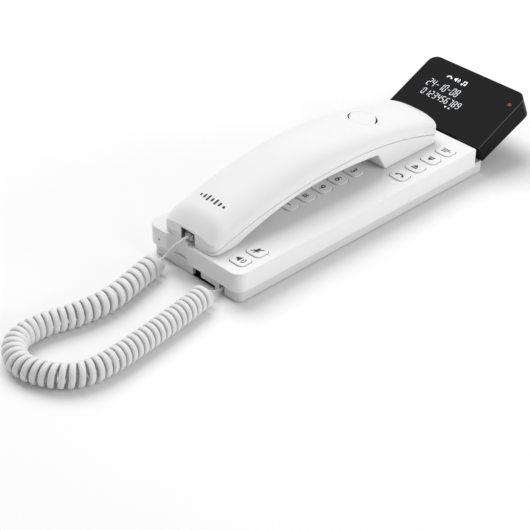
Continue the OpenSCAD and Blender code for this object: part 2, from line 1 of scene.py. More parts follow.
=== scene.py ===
"""Slimline corded phone: the visible pieces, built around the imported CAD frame.

Sizes are in millimetres, in the frame's own axes, until a mesh is made.
"""
import json
import math
import bmesh
import bpy
from mathutils import Matrix, Vector


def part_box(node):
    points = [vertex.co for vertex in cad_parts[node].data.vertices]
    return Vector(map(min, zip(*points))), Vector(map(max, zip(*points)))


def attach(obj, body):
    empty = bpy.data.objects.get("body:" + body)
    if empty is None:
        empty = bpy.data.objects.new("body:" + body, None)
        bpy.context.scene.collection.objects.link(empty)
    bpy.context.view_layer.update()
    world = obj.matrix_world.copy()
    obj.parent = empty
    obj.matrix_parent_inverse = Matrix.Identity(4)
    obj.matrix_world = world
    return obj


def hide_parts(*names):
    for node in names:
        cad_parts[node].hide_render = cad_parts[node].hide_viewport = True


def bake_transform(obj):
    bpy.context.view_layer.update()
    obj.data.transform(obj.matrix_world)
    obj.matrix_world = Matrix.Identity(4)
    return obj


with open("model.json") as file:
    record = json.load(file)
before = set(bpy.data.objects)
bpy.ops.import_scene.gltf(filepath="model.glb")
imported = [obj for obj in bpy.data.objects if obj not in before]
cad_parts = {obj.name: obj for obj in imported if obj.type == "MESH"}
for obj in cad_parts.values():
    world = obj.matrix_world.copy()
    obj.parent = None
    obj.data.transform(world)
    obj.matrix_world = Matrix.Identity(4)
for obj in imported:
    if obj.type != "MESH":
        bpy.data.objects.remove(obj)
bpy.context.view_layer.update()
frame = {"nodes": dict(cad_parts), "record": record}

MM = 0.001

# ---------- sizes shared with the CAD model ----------

# the base: its size without feet, its corners, and the height at which its two shells part
BASE_W, BASE_L, BASE_H = 85, 220, 21.8
FRONT_R, REAR_R = 7.4, 1.2
SPLIT_Z = 8.4
WALL = 2.2
PLINTH_INSET = 2.5
FOOT_H = 0.8
SCOOP_X, SCOOP_R, SCOOP_DEPTH = -14, 14.5, 4
SCOOP_Y = -BASE_L / 2 - SCOOP_R + SCOOP_DEPTH
MICROPHONE_X, MICROPHONE_Z, MICROPHONE_R = -31.3, 13.8, 0.9
RIBBON_SLOT_W, RIBBON_SLOT_H = 16, 2.4
HOOK_R = 3.1
TAB_HOLE = (14.4, 7.4)

# the keys
KEY_W, KEY_L, KEY_R = 12.4, 10.4, 3.2
KEY_FIT = 0.35
CROWN_RISE = 0.1
KEY_NODES = [n for n in frame["nodes"] if n.startswith("key_")]

# the handset: its middle line and ends, half its width and its corners; heights are above the base's top face
HS_X, HS_Y0, HS_Y1 = -6, -107.5, 98.5
HS_HALF, HS_R = 24, 5.5
SHELL = 2
REST_GAP = 0.3
SECTION_POWER = 2.6
# the seam between its shells, and its crown, are highest at PEAK_Y and CROWN_Y, and fall towards both ends:
# each fall is how far down, over what distance, and the power of its curve
SEAM_H, SEAM_TO_MOUTH, SEAM_TO_EAR = 21, (14.4, 110, 2.3), (13.2, 78, 1.9)
CROWN_H, CROWN_TO_MOUTH, CROWN_TO_EAR = 37.2, (19, 94, 1.55), (16.6, 108, 1.64)
PEAK_Y, CROWN_Y, GRIP_Y, MOUTH_REST = 15, -12, -10, -90.5
GRIP_H = 16.4
GRIP_TO_MOUTH, GRIP_TO_EAR = (GRIP_H, GRIP_Y - MOUTH_REST, 1.9), (1.6, 36, 2)
# where the dome starts to drop at each end, and the share of its height that is left at the very end
MOUTH_NOSE, EAR_NOSE = (12, 0.55), (12, 0.82)
EAR_FACE, EAR_FOOT = (38, 45.5), HS_Y1 - 5.5
CAP_X, CAP_Y, CAP_R, CAP_GAP = -3, 44, 10, 0.22
JACK_X, SOCKET_DEPTH, RECESS_H = HS_X, 8.5, 9.6
EAR_Y, TAB_Y = 74, 51
SCREW_Y = (-81, 57.4)
MOUTHPIECE = (8, -96)

# the display block, which is thicker at its far end by DISPLAY_SWELL, and the arms that hold it.
# DISPLAY_EDGE is its near edge's place in the frame, and HINGE_U and HINGE_N are the hinge's, along its face
# from that edge and out of it
DISPLAY_W, DISPLAY_L, DISPLAY_T, DISPLAY_R = 85.4, 54, 14.8, 7
DISPLAY_SWELL = 3
WINDOW_T = 2
DISPLAY_TILT = 24
DISPLAY_EDGE = (BASE_L / 2 + 1.1, BASE_H + 0.8)
HINGE_U, HINGE_N = 5, -9.5
ARM_X, ARM_W, ARM_R = 26, 9, 2.7
LED_PLACE = (37.2, 41.2)

# the cord: the width and thickness of its flat wire, the coil's outer diameter, and the wire in the two leads
CORD_W, CORD_T, COIL_D = 4.2, 2.8, 15.5
LEAD_W, LEAD_T = 3.3, 1.6
TURNS, TURN_STEPS, WIRE_SIDES = 55, 26, 14
COIL_Z = COIL_D / 2 - FOOT_H
COIL_ROUTE = [
    (-21, -120), (-16, -141), (-11.5, -158), (-10, -174), (-12, -192), (-16, -208), (-17.5, -222),
    (-14, -234), (-4, -242), (8, -244), (20, -240), (30, -233), (36.5, -222), (38, -208),
    (37, -193), (35, -176), (32.8, -160), (30.3, -144), (27.6, -130), (25.5, -121.3)]
HANDSET_LEAD_ROUTE = [
    (JACK_X, -107.3, 26.6), (-6.2, -109, 26.4), (-7.4, -111, 25), (-10.2, -112.4, 22),
    (-13.4, -112.7, 18.4), (-16.6, -112.8, 14.6), (-18.8, -113.4, 11.2), (-20.3, -115.4, 8.4),
    (-20.8, -117.8, 7.2), (-21, -120, COIL_Z)]
BASE_LEAD_ROUTE = [
    (25.5, -121.3, COIL_Z), (25.2, -118, 5.6), (24.9, -114.5, 3.9), (24.6, -111, 2.9), (24.4, -107.5, 2.6),
    (24, -104, 2.6), (22.8, -100.8, 2.8), (20.4, -98.2, 3.2), (17.4, -97, 3.6), (14, -97, 3.8)]

# ---------- camera ----------

# the angle it looks from, its distance from the frame's origin and how far its aim is off that, and its lens
AZIMUTH, ELEVATION = math.radians(46.452), math.radians(34.546)
DISTANCE, AIM_RIGHT, AIM_UP, LENS = 1060.75, -34.51, -34.91, 108.82
RIGHT = Vector((math.cos(AZIMUTH), math.sin(AZIMUTH), 0))
BACK = Vector((math.sin(AZIMUTH) * math.cos(ELEVATION), -math.cos(AZIMUTH) * math.cos(ELEVATION),
               math.sin(ELEVATION)))
UP = BACK.cross(RIGHT)


def add_camera():
    data = bpy.data.cameras.new("camera")
    data.sensor_width = 36
    data.lens = LENS
    data.clip_start, data.clip_end = 0.01, 50
    camera = bpy.data.objects.new("camera", data)
    place = (RIGHT * AIM_RIGHT + UP * AIM_UP + BACK * DISTANCE) * MM
    turn = Matrix((RIGHT, UP, BACK)).transposed().to_4x4()
    camera.matrix_world = Matrix.Translation(place) @ turn
    bpy.context.scene.collection.objects.link(camera)
    bpy.context.scene.camera = camera


# ---------- node materials ----------

def new_material(name):
    material = bpy.data.materials.new(name)
    material.use_nodes = True
    tree = material.node_tree
    return material, tree, tree.nodes["Principled BSDF"]


def noise(tree, scale, detail=3):
    """Noise over the piece's own coordinates, in metres, so its grain keeps its size."""
    place = tree.nodes.new("ShaderNodeTexCoord")
    texture = tree.nodes.new("ShaderNodeTexNoise")
    texture.inputs["Scale"].default_value = scale
    texture.inputs["Detail"].default_value = detail
    tree.links.new(place.outputs["Object"], texture.inputs["Vector"])
    return texture.outputs["Fac"]


def spread(tree, value, low, high):
    """Stretches noise out between two values."""
    node = tree.nodes.new("ShaderNodeMapRange")
    node.inputs["From Min"].default_value = 0.3
    node.inputs["From Max"].default_value = 0.7
    node.inputs["To Min"].default_value = low
    node.inputs["To Max"].default_value = high
    tree.links.new(value, node.inputs["Value"])
    return node.outputs["Result"]


def between(tree, value, colour_a, colour_b):
    """Blends two colours by noise."""
    node = tree.nodes.new("ShaderNodeValToRGB")
    node.color_ramp.elements[0].position, node.color_ramp.elements[1].position = 0.3, 0.7
    node.color_ramp.elements[0].color = (*colour_a, 1)
    node.color_ramp.elements[1].color = (*colour_b, 1)
    tree.links.new(value, node.inputs["Fac"])
    return node.outputs["Color"]


def add_bump(tree, shader, height, strength, distance):
    bump = tree.nodes.new("ShaderNodeBump")
    bump.inputs["Strength"].default_value = strength
    bump.inputs["Distance"].default_value = distance
    tree.links.new(height, bump.inputs["Height"])
    tree.links.new(bump.outputs["Normal"], shader.inputs["Normal"])


def moulded(name, colour, rough, grain_mm=0.6, grain_um=4, drift=0.012, coat=0.0, metallic=0.0, gloss=0.5):
    """Moulded plastic or metal: a faint drift of colour, uneven polish and a fine moulded grain."""
    material, tree, shader = new_material(name)
    light = [min(1, c * (1 + drift)) for c in colour]
    dark = [c * (1 - drift) for c in colour]
    tree.links.new(between(tree, noise(tree, 45), dark, light), shader.inputs["Base Color"])
    tree.links.new(spread(tree, noise(tree, 90, 5), rough * 0.88, rough * 1.12), shader.inputs["Roughness"])
    add_bump(tree, shader, noise(tree, 1000 / grain_mm, 2), 0.2, grain_um * 1e-6)
    shader.inputs["Metallic"].default_value = metallic
    shader.inputs["Specular IOR Level"].default_value = gloss
    shader.inputs["Coat Weight"].default_value = coat
    shader.inputs["Coat Roughness"].default_value = 0.06
    return material


def glowing(name, colour, strength):
    material, tree, shader = new_material(name)
    low = [c * 0.85 for c in colour]
    tint = between(tree, noise(tree, 900), low, colour)
    tree.links.new(tint, shader.inputs["Base Color"])
    tree.links.new(tint, shader.inputs["Emission Color"])
    shader.inputs["Emission Strength"].default_value = strength
    shader.inputs["Roughness"].default_value = 0.4
    return material


def clear_plastic(name):
    material, tree, shader = new_material(name)
    tree.links.new(between(tree, noise(tree, 300), (0.82, 0.84, 0.85), (0.93, 0.94, 0.95)),
                   shader.inputs["Base Color"])
    tree.links.new(spread(tree, noise(tree, 700), 0.08, 0.2), shader.inputs["Roughness"])
    shader.inputs["Transmission Weight"].default_value = 0.55
    shader.inputs["IOR"].default_value = 1.49
    return material


def cord_rubber(name):
    """The cord's soft vinyl: a slight sheen along it, with a fine drawn texture."""
    material, tree, shader = new_material(name)
    tree.links.new(between(tree, noise(tree, 60), (0.70, 0.70, 0.70), (0.74, 0.74, 0.74)),
                   shader.inputs["Base Color"])
    tree.links.new(spread(tree, noise(tree, 400), 0.34, 0.46), shader.inputs["Roughness"])
    add_bump(tree, shader, noise(tree, 2600, 2), 0.4, 8e-6)
    return material


def circuit(name):
    material, tree, shader = new_material(name)
    tree.links.new(between(tree, noise(tree, 500, 6), (0.01, 0.10, 0.04), (0.03, 0.19, 0.08)),
                   shader.inputs["Base Color"])
    tree.links.new(spread(tree, noise(tree, 900), 0.3, 0.55), shader.inputs["Roughness"])
    return material


MATERIALS = {
    "white_plastic": moulded("white_plastic", (0.77, 0.77, 0.775), 0.36, coat=0.05),
    # case_plastic is the white plastic made darker: painted shade for the lower case, under the upper case's
    # overhang
    "case_plastic": moulded("case_plastic", (0.64, 0.64, 0.645), 0.42, gloss=0.25),
    "key_plastic": moulded("key_plastic", (0.77, 0.77, 0.775), 0.38),
    "rubber_grey": moulded("rubber_grey", (0.22, 0.22, 0.23), 0.75, grain_um=15),
    "steel": moulded("steel", (0.62, 0.62, 0.64), 0.3, metallic=1.0),
    "circuit_board": circuit("circuit_board"),
    "black_plastic": moulded("black_plastic", (0.004, 0.004, 0.005), 0.08, grain_um=0.2, gloss=0.05),
    "black_gloss": moulded("black_gloss", (0.005, 0.005, 0.006), 0.04, grain_um=0.1, gloss=0.4),
    "lcd_glass": moulded("lcd_glass", (0.02, 0.022, 0.026), 0.15),
    "led_red": glowing("led_red", (0.36, 0.035, 0.025), 0.25),
    "ribbon_film": moulded("ribbon_film", (0.03, 0.022, 0.016), 0.35),
    "clear_plug": clear_plastic("clear_plug"),
    "white_cord": cord_rubber("white_cord"),
}
PRINT_INK = moulded("print_ink", (0.035, 0.035, 0.038), 0.5)
MARK_INK = moulded("mark_ink", (0.055, 0.055, 0.058), 0.45)
# black for the plate and strip just inside the front slots: painted shade inside the slots
SLOT_SHADE = moulded("painted_slot_shade", (0.012, 0.012, 0.012), 0.85, gloss=0.1)
SEGMENT_LIGHT = glowing("segment_light", (0.76, 0.79, 0.81), 0.7)

# ---------- mesh helpers ----------


def smooth_object(obj, material, angle=32):
    obj.data.materials.clear()
    obj.data.materials.append(material)
    obj.data.shade_smooth()
    obj.data.set_sharp_from_angle(angle=math.radians(angle))
    return obj


def new_object(name, bm):
    bmesh.ops.recalc_face_normals(bm, faces=bm.faces)
    mesh = bpy.data.meshes.new(name)
    bm.to_mesh(mesh)
    bm.free()
    obj = bpy.data.objects.new(name, mesh)
    bpy.context.scene.collection.objects.link(obj)
    return obj


def finish_piece(obj, body, slot, material=None, replaces=(), angle=32):
    smooth_object(obj, material or MATERIALS[slot], angle)
    # flat faces stay flat beside their rounded edges
    change = obj.modifiers.new("normals", "WEIGHTED_NORMAL")
    change.keep_sharp = True
    apply_modifiers(obj)
    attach(obj, body)
    if replaces:
        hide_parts(*replaces)
    return obj


def add_rings(bm, rings, wrap=True, place=None):
    """Skins a list of rings of points, and returns the first and the last ring's vertices."""
    place = place or Matrix.Identity(4)
    loops = [[bm.verts.new((place @ Vector(p)) * MM) for p in ring] for ring in rings]
    count = len(loops[0])
    for low, high in zip(loops, loops[1:]):
        for k in range(count if wrap else count - 1):
            after = (k + 1) % count
            bm.faces.new((low[k], low[after], high[after], high[k]))
    return loops[0], loops[-1]


def ring_edges(bm, loop):
    found = []
    for k, vert in enumerate(loop):
        other = loop[(k + 1) % len(loop)]
        found.append(bm.edges.get((vert, other)) or bm.edges.new((vert, other)))
    return found


def fill_between(bm, loops, normal):
    edges = [e for loop in loops for e in ring_edges(bm, loop)]
    bmesh.ops.triangle_fill(bm, use_beauty=True, use_dissolve=False, edges=edges, normal=normal)


def add_solid(bm, rim, holes=(), place=None):
    """A closed solid: rim's rings run from the bottom face to the top face, each hole's from the top down."""
    place = place or Matrix.Identity(4)
    bottom, top = add_rings(bm, rim, place=place)
    bored = [add_rings(bm, hole, place=place) for hole in holes]
    normal = place.to_3x3() @ Vector((0, 0, 1))
    fill_between(bm, [top] + [first for first, _ in bored], normal)
    fill_between(bm, [bottom] + [last for _, last in bored], -normal)


def add_slab(bm, outline, z0, z1, edge, holes=(), place=None):
    """A flat solid with its edges taken off. outline(inset) gives its line."""
    rim = [flat(outline(edge), z0), flat(outline(0), z0 + edge),
           flat(outline(0), z1 - edge), flat(outline(edge), z1)]
    add_solid(bm, rim, holes, place)


def apply_modifiers(obj):
    bpy.context.view_layer.update()
    graph = bpy.context.evaluated_depsgraph_get()
    old = obj.data
    mesh = bpy.data.meshes.new_from_object(obj.evaluated_get(graph))
    obj.modifiers.clear()
    obj.data = mesh
    bpy.data.meshes.remove(old)


def thicken(obj, thickness):
    """Gives an open skin its wall, on the inner side."""
    change = obj.modifiers.new("wall", "SOLIDIFY")
    change.thickness = thickness * MM
    change.offset = -1
    change.thickness_clamp = 1.5
    apply_modifiers(obj)


def cut(obj, cutters):
    """Takes the cutter solids out of the piece, and then removes them."""
    bm = bmesh.new()
    for fill in cutters:
        fill(bm)
    tool = new_object(obj.name + "_cutter", bm)
    change = obj.modifiers.new("cut", "BOOLEAN")
    change.operation = "DIFFERENCE"
    change.solver = "EXACT"
    change.use_self = True
    change.object = tool
    apply_modifiers(obj)
    bpy.data.objects.remove(tool)


def flat(outline, z):
    return [(x, y, z) for x, y in outline]


def arc(r, a0, a1, x=0, y=0, count=12):
    return [(x + r * math.cos(math.radians(a0 + (a1 - a0) * k / count)),
             y + r * math.sin(math.radians(a0 + (a1 - a0) * k / count))) for k in range(count + 1)]


def rounded_rect(w, l, r, x=0, y=0, steps=8):
    points = []
    for sx, sy, start in ((1, 1, 0), (-1, 1, 90), (-1, -1, 180), (1, -1, 270)):
        points += arc(r, start, start + 90, x + sx * (w / 2 - r), y + sy * (l / 2 - r), steps)
    return points


def circle(r, x=0, y=0, count=48):
    turn = 2 * math.pi / count
    return [(x + r * math.cos(k * turn), y + r * math.sin(k * turn)) for k in range(count)]


def quarter(steps):
    """Steps along a quarter-round edge: how far in and how far down, as shares of its radius."""
    turns = [math.pi / 2 * k / steps for k in range(steps + 1)]
    return [(1 - math.cos(a), 1 - math.sin(a)) for a in turns]


def prism(outline, z0, z1, place=None):
    """A cutter, as a function that adds it to a bmesh."""
    return lambda bm: add_solid(bm, [flat(outline, z0), flat(outline, z1)], place=place)


def box_outline(x0, y0, x1, y1):
    return [(x0, y0), (x1, y0), (x1, y1), (x0, y1)]


# ---------- cord ----------

def catmull(a, b, c, d, t):
    """The point at t, from 0 to 1, on the smooth curve through b and c, with a and d beside them."""
    return 0.5 * (2 * b + (c - a) * t + (2 * a - 5 * b + 4 * c - d) * t * t
                  + (3 * b - a - 3 * c + d) * t ** 3)


def smooth_route(points, steps):
    """A smooth line through the points, with the given number of steps from one to the next."""
    points = [Vector(p) for p in points]
    last = len(points) - 1
    line = [catmull(points[max(i - 1, 0)], points[i], points[i + 1], points[min(i + 2, last)], s / steps)
            for i in range(last) for s in range(steps)]
    return line + [points[-1]]


def ease(t):
    t = min(1, max(0, t))
    return t * t * (3 - 2 * t)


def evenly(line, count):
    """The line again as count points at even spacing, and the spacing."""
    reach = [0]
    for a, b in zip(line, line[1:]):
        reach.append(reach[-1] + (b - a).length)
    found, i = [], 0
    for k in range(count):
        want = reach[-1] * k / (count - 1)
        while i < len(line) - 2 and reach[i + 1] < want:
            i += 1
        share = (want - reach[i]) / max(reach[i + 1] - reach[i], 1e-9)
        found.append(line[i].lerp(line[i + 1], share))
    return found, reach[-1] / (count - 1)


def spacing(share):
    """How far apart the turns lie at a share of the coil's length: they are drawn apart near the handset."""
    return 1.24 - 0.22 * ease((share - 0.17) / 0.12) - 0.06 * ease((share - 0.6) / 0.1)


def coil_line():
    """The helix, point by point: its place, the way the coil runs, its pitch, and how fully it is coiled."""
    count = TURNS * TURN_STEPS + 1
    middle, step = evenly(smooth_route([(x, y, COIL_Z) for x, y in COIL_ROUTE], 12), count)
    open_share = [spacing(k / count) for k in range(count)]
    scale = TURNS / sum(1 / p for p in open_share[1:])
    turned, points = 0.0, []
    for k in range(count):
        ahead = (middle[min(k + 1, count - 1)] - middle[max(k - 1, 0)]).normalized()
        side = ahead.cross(Vector((0, 0, 1))).normalized()
        up = side.cross(ahead)
        if k:
            turned += scale / open_share[k]
        angle = 2 * math.pi * turned + math.pi / 2
        out = side * math.cos(angle) + up * math.sin(angle)
        # over the first and last half turn the helix opens out of the straight lead
        ends = min(turned, TURNS - turned)
        radius = (COIL_D / 2 - CORD_T / 2) * (0.25 + 0.75 * ease(ends / 0.45))
        pitch = step * open_share[k] / scale
        points.append((middle[k] + out * radius, ahead, pitch, ease(ends / 0.6)))
    return points


def wire_ring(point, ahead, wide, width, thick):
    """The flat wire's section: an oval with fuller corners, its width lying as near to wide as it can."""
    wide = (wide - ahead * wide.dot(ahead)).normalized()
    deep = wide.cross(ahead)
    ring = []
    for k in range(WIRE_SIDES):
        a = 2 * math.pi * k / WIRE_SIDES
        c, s = math.cos(a), math.sin(a)
        c = math.copysign(abs(c) ** 0.8, c)
        s = math.copysign(abs(s) ** 0.8, s)
        ring.append(point + wide * (width / 2 * c) + deep * (thick / 2 * s))
    return ring


def cord_piece():
    """The cord as one wire from plug to plug, with the line it follows and that line's length."""
    lead = smooth_route(HANDSET_LEAD_ROUTE, 5)
    tail = smooth_route(BASE_LEAD_ROUTE, 5)
    helix = coil_line()
    # the leads stop short of the helix, which takes up their line
    short = 3
    line = lead[:-short] + [h[0] for h in helix] + tail[short:]
    # the way the wire's flat side lies across each lead
    lead_way, tail_way = BACK.copy(), Vector((0, 0.25, 1)).normalized()
    bm, rings = bmesh.new(), []
    for i, point in enumerate(line):
        ahead = (line[min(i + 1, len(line) - 1)] - line[max(i - 1, 0)]).normalized()
        k = i - len(lead) + short
        wide = lead_way if k < len(helix) / 2 else tail_way
        width, thick = LEAD_W, LEAD_T
        if 0 <= k < len(helix):
            _, along, pitch, full = helix[k]
            wide = wide.lerp(along, full)
            width += (min(4.7, 0.79 * pitch) - LEAD_W) * full
            thick += (CORD_T - LEAD_T) * full
        rings.append(wire_ring(point, ahead, wide, width, thick))
    first, last = add_rings(bm, rings)
    bm.faces.new(first)
    bm.faces.new(list(reversed(last)))
    path = [point * MM for point in line]
    cord = new_object("handset_cord", bm)
    smooth_object(cord, MATERIALS["white_cord"], 60)
    length = sum((b - a).length for a, b in zip(path, path[1:]))
    return cord, path, length


def modular_plug(name, node, body, ahead):
    """A clear four-way plug with its contact ribs and latch. ahead is the way its nose points."""
    low, high = (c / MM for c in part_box(node))
    middle = (low + high) / 2
    size = high - low
    turn = Vector((0, 1, 0)).rotation_difference(Vector(ahead)).to_matrix().to_4x4()
    place = Matrix.Translation(middle) @ turn
    long = abs(size.dot(Vector(ahead)))
    wide = size.x if abs(ahead[1]) else size.y
    tall = size.z

    def body_outline(inset):
        return rounded_rect(wide - 2 * inset, long - 2 * inset, 0.7 - inset, steps=3)

    bm = bmesh.new()
    edge = 0.35
    # the body, and on it the ribs and the latch, share out the plug's length and height
    add_slab(bm, body_outline, -tall / 2, tall * 0.26 + edge, edge, place=place)
    for k in range(4):
        x = (k - 1.5) * wide / 6
        rib = rounded_rect(0.45, long * 0.3, 0.15, x, long * 0.26, steps=2)
        add_solid(bm, [flat(rib, tall * 0.3), flat(rib, tall * 0.42)], place=place)
    latch = rounded_rect(wide * 0.42, long * 0.72, 0.6, 0, -long * 0.1, steps=3)
    add_solid(bm, [flat(latch, tall * 0.32), flat(latch, tall * 0.5)], place=place)
    return finish_piece(new_object(name, bm), body, "clear_plug", replaces=[node])


def add_cord():
    cord, path, length = cord_piece()
    handset_plug = modular_plug("cord_plug_handset", "handset_plug", "handset", (0, 1, 0))
    base_plug = modular_plug("cord_plug_base", "base_plug", "base", (-1, 0, 0))
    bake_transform(cord)
    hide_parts("handset_lead", "cord_coil", "base_lead")


# ---------- base ----------

def case_outline(inset):
    """The upper case from above, with the scoop in its front edge."""
    w, l, r = BASE_W / 2 - inset, BASE_L / 2 - inset, FRONT_R - inset
    rear = max(REAR_R - inset, 0.3)
    corner_steps, scoop_steps = 14, 24
    points = arc(rear, 0, 90, w - rear, l - rear, corner_steps)
    points += arc(rear, 90, 180, rear - w, l - rear, corner_steps)
    points += arc(r, 180, 270, r - w, r - l, corner_steps)
    deep = -l - SCOOP_Y
    scoop_r = SCOOP_R + inset
    end = math.acos(math.sqrt(scoop_r ** 2 - deep ** 2) / scoop_r)
    for k in range(scoop_steps + 1):
        a = math.pi - end - (math.pi - 2 * end) * k / scoop_steps
        points.append((SCOOP_X + scoop_r * math.cos(a), SCOOP_Y + scoop_r * math.sin(a)))
    return points + arc(r, 270, 360, w - r, r - l, corner_steps)


def key_middles():
    """Each key's middle, seen from above, and the height of its top."""
    found = {}
    for node in KEY_NODES:
        low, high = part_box(node)
        found[node] = ((low.x + high.x) / 2 / MM, (low.y + high.y) / 2 / MM, high.z / MM)
    return found


def opening(outline, soften=0.28):
    """A hole through the top wall with a softened upper edge. outline(grow) gives its line."""
    return [flat(outline(soften), BASE_H), flat(outline(soften * 0.3), BASE_H - soften * 0.3),
            flat(outline(0), BASE_H - soften), flat(outline(0), BASE_H - WALL)]


def case_rim():
    """The upper case's rings: from inside its top wall down to the split, round under its edge and up."""
    edge = 0.7
    rim = [flat(case_outline(WALL), BASE_H - WALL), flat(case_outline(WALL), SPLIT_Z)]
    rim += [flat(case_outline(inset), SPLIT_Z + rise) for inset, rise in ((0.35, 0), (0.1, 0.1), (0, 0.4))]
    return rim + [flat(case_outline(edge * i), BASE_H - edge * d) for i, d in quarter(6)]


def case_holes():
    """The openings in the top wall for the keys, the hook plunger and the hanger tab."""
    holes = []
    for x, y, _ in key_middles().values():
        holes.append(opening(lambda grow, x=x, y=y: rounded_rect(
            KEY_W + 2 * (KEY_FIT + grow), KEY_L + 2 * (KEY_FIT + grow), KEY_R + KEY_FIT + grow, x, y)))
    low, high = (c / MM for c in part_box("hook_plunger"))
    hook = ((low.x + high.x) / 2, (low.y + high.y) / 2)
    holes.append(opening(lambda grow: circle(HOOK_R + grow, *hook, count=32)))
    tab_w, tab_l = TAB_HOLE
    holes.append(opening(lambda grow: rounded_rect(
        tab_w + 2 * grow, tab_l + 2 * grow, 0.5 + grow, HS_X, TAB_Y, steps=3)))
    return holes


def upper_case():
    """The base's top shell, with the microphone hole in its front wall and the ribbon's slot in its rear."""
    bm = bmesh.new()
    add_solid(bm, case_rim(), case_holes())
    case = new_object("base_top_case", bm)
    in_front = Matrix.Translation((MICROPHONE_X, -BASE_L / 2 - 2, MICROPHONE_Z))
    facing_y = Matrix.Rotation(math.radians(-90), 4, "X")
    slot_z = hinge_place().z
    slot = box_outline(-RIBBON_SLOT_W / 2, BASE_L / 2 - WALL - 1, RIBBON_SLOT_W / 2, BASE_L / 2 + 1)
    cut(case, [prism(circle(MICROPHONE_R, count=24), 0, 6, in_front @ facing_y),
               prism(slot, slot_z - RIBBON_SLOT_H / 2, slot_z + RIBBON_SLOT_H / 2)])
    finish_piece(case, "base", "white_plastic", replaces=["upper_case"], angle=28)


def slot_shade_plate():
    """A black plate just inside the two front slots, with a black strip that lies in them: painted shade, so
    that the slots look dark inside.
    """
    front = -BASE_L / 2 + PLINTH_INSET
    plate_y, strip_y = front + WALL + 0.6, front + 1.6

    def plate(inset):
        return rounded_rect(24 - 2 * inset, 0.9 - 2 * inset, 0.3 - inset, 8.5, plate_y, steps=3)

    def dark_strip(inset):
        return rounded_rect(20.3 - 2 * inset, 3 - 2 * inset, 0.3 - inset, 7.95, strip_y, steps=3)

    bm = bmesh.new()
    add_slab(bm, plate, 0.4, 8.05, 0.15)
    add_slab(bm, dark_strip, 0.05, 0.4, 0.1)
    finish_piece(new_object("slot_shade_plate", bm), "base", "black_plastic", material=SLOT_SHADE)


def hinge_place():
    """The display's hinge axis where it crosses the middle, from its place on the tilted display."""
    tilt = math.radians(DISPLAY_TILT)
    return Vector((0, DISPLAY_EDGE[0] + HINGE_U * math.cos(tilt) - HINGE_N * math.sin(tilt),
                   DISPLAY_EDGE[1] + HINGE_U * math.sin(tilt) + HINGE_N * math.cos(tilt)))


def display_arms():
    """The two arms on the base that carry the display's pins."""
    hinge = hinge_place()
    reach = hinge.y - (BASE_L / 2 - 0.3)
    half = ARM_W / 2
    pin_hole = circle(1.6, count=24)
    # the profile is drawn flat, and then turned to stand along the base
    upright = Matrix(((0, 0, 1, 0), (1, 0, 0, 0), (0, 1, 0, 0), (0, 0, 0, 1)))

    def profile(inset):
        r = ARM_R - inset
        bend = [(r * math.sin(math.pi * k / 16), -r * math.cos(math.pi * k / 16)) for k in range(17)]
        return [(-reach, -r)] + bend + [(-reach, r)]

    bm = bmesh.new()
    for side in (-1, 1):
        place = Matrix.Translation((side * ARM_X, hinge.y, hinge.z)) @ upright
        add_slab(bm, profile, -half, half, 0.4, [[flat(pin_hole, half), flat(pin_hole, -half)]], place)
    finish_piece(new_object("display_arms", bm), "base", "white_plastic")


# ---------- keys ----------

def key_cap(node, x, y, top):
    """A key's cap and the flange that holds it under the top wall; what is under the wall is grey rubber,
    which also paints shade into the gaps round the key.
    """
    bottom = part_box(node)[0].z / MM
    edge, flange_h = 0.45, 1

    def cap(inset):
        return rounded_rect(KEY_W - 2 * inset, KEY_L - 2 * inset, max(KEY_R - inset, 0.2), x, y)

    flange = rounded_rect(KEY_W + 1.3, KEY_L + 1.5, 2, x, y)
    rings = [flat(flange, bottom), flat(flange, bottom + flange_h), flat(cap(0), bottom + flange_h)]
    rings += [flat(cap(edge * i), top - edge * d) for i, d in quarter(4)][1:]
    # a shallow crown, so that the cap catches a soft highlight
    crowned = ((1.2, 0.05), (2.6, 0.09), (3.8, CROWN_RISE))
    rings += [flat(cap(edge + inset), top + rise) for inset, rise in crowned]
    bm = bmesh.new()
    add_solid(bm, rings)
    piece = finish_piece(new_object(node + "_cap", bm), node, "key_plastic", replaces=[node], angle=40)
    # the grey under the top wall is a rubber skirt and also painted shade, darkening the gaps round the key
    piece.data.materials.append(MATERIALS["rubber_grey"])
    for face in piece.data.polygons:
        if face.center.z / MM < BASE_H - WALL:
            face.material_index = 1


def strip(points, width):
    """A printed line of even width along some points."""
    points = [Vector((*p, 0)) for p in points]
    left, right = [], []
    for i, p in enumerate(points):
        ahead = (points[min(i + 1, len(points) - 1)] - points[max(i - 1, 0)]).normalized()
        across = Vector((-ahead.y, ahead.x, 0)) * width / 2
        left.append((p + across).xy[:])
        right.append((p - across).xy[:])
    return right + left[::-1]


def bar(x, y, w, h):
    return rounded_rect(w, h, min(w, h) * 0.3, x, y, steps=2)


